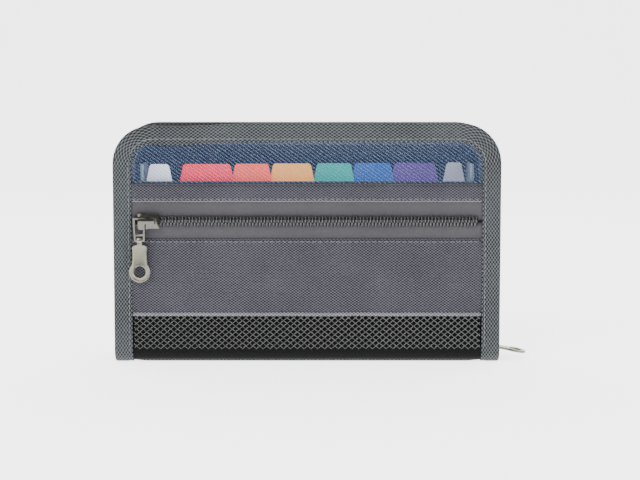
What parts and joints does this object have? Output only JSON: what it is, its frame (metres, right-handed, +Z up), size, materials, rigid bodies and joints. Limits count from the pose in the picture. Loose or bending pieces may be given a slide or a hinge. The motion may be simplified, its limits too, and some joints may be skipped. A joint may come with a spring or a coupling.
{
  "type": "expanding file folder",
  "caption": "Small zipped expanding file in grey woven fabric, with a clear window over coloured index tabs, a zipped pocket and a mesh pocket on the front.",
  "frame": {"origin": "middle of the flat underside, under the centre of the closed file", "axes": "+Z up, +X to the right as seen from the front, +Y from the window side to the back"},
  "size_m": [0.2157, 0.0387, 0.124],
  "materials": {
    "binding_fabric": "coarse plain weave, folded tape",
    "oxford_fabric": "fine oxford weave with a slight sheen",
    "lining_fabric": "smooth stiffened cloth",
    "zip_tape": "woven zip tape",
    "coil_nylon": "glossy nylon coil",
    "zip_metal": "dark nickel plate, satin faces and bright edges",
    "mesh_black": "diamond net with glossy crossings",
    "window_film": "clear film with fine slanted lines",
    "film_frosted": "frosted film",
    "film_white": "satin film",
    "film_red": "satin film",
    "film_orange": "satin film",
    "film_yellow": "satin film",
    "film_green": "satin film",
    "film_blue": "satin film",
    "film_purple": "satin film"
  },
  "bodies": {
    "cover": {"binding": "binding_fabric", "outer_fabric": "oxford_fabric", "cover_lining": "lining_fabric", "window_film": "window_film", "window_sill_strip": "oxford_fabric", "pocket_panel": "oxford_fabric", "mesh_pocket": "mesh_black", "mesh_hem": "oxford_fabric", "pocket_zip_tape_upper": "zip_tape", "pocket_zip_tape_lower": "zip_tape", "pocket_zip_coil_upper": "coil_nylon", "pocket_zip_coil_lower": "coil_nylon", "main_zip_tape_front": "zip_tape", "main_zip_tape_back": "zip_tape", "main_zip_coil_front": "coil_nylon", "main_zip_coil_back": "coil_nylon", "bellows": "film_frosted", "front_sheet": "film_frosted", "divider_white_front": "film_white", "divider_red": "film_red", "divider_orange": "film_orange", "divider_yellow": "film_yellow", "divider_green": "film_green", "divider_blue": "film_blue", "divider_purple": "film_purple", "divider_white_rear": "film_white", "rear_sheet": "film_frosted"},
    "pocket_runner": {"pocket_slider": "zip_metal"},
    "pocket_hanger": {"pocket_link": "zip_metal"},
    "pocket_tag": {"pocket_pull": "zip_metal"},
    "main_runner": {"main_slider": "zip_metal"},
    "main_hanger": {"main_link": "zip_metal"},
    "main_tag": {"main_pull": "zip_metal"}
  },
  "joints": [
    {"name": "pocket_zip", "type": "slide", "parent": "cover", "child": "pocket_runner", "axis": [1, 0, 0], "range_m": [0, 0.16], "deforming": ["pocket_zip_coil_upper", "pocket_zip_coil_lower"]},
    {"name": "pocket_link_turn", "type": "hinge", "parent": "pocket_runner", "child": "pocket_hanger", "pos_m": [-0.086, -0.0198, 0.0736], "axis": [0, 1, 0], "range_deg": [-25, 90]},
    {"name": "pocket_pull_lift", "type": "hinge", "parent": "pocket_hanger", "child": "pocket_tag", "pos_m": [-0.086, -0.0198, 0.06385], "axis": [-1, 0, 0], "range_deg": [0, 120]},
    {"name": "main_zip", "type": "slide", "parent": "cover", "child": "main_runner", "axis": [0, 0, 1], "range_m": [0, 0.074], "deforming": ["main_zip_coil_front", "main_zip_coil_back"]},
    {"name": "main_link_lift", "type": "hinge", "parent": "main_runner", "child": "main_hanger", "pos_m": [0.0942, 0, 0.01815], "axis": [0, -1, 0], "range_deg": [0, 95]},
    {"name": "main_pull_lift", "type": "hinge", "parent": "main_hanger", "child": "main_tag", "pos_m": [0.0942, 0, 0.00675], "axis": [0, -1, 0], "range_deg": [0, 38]}
  ]
}
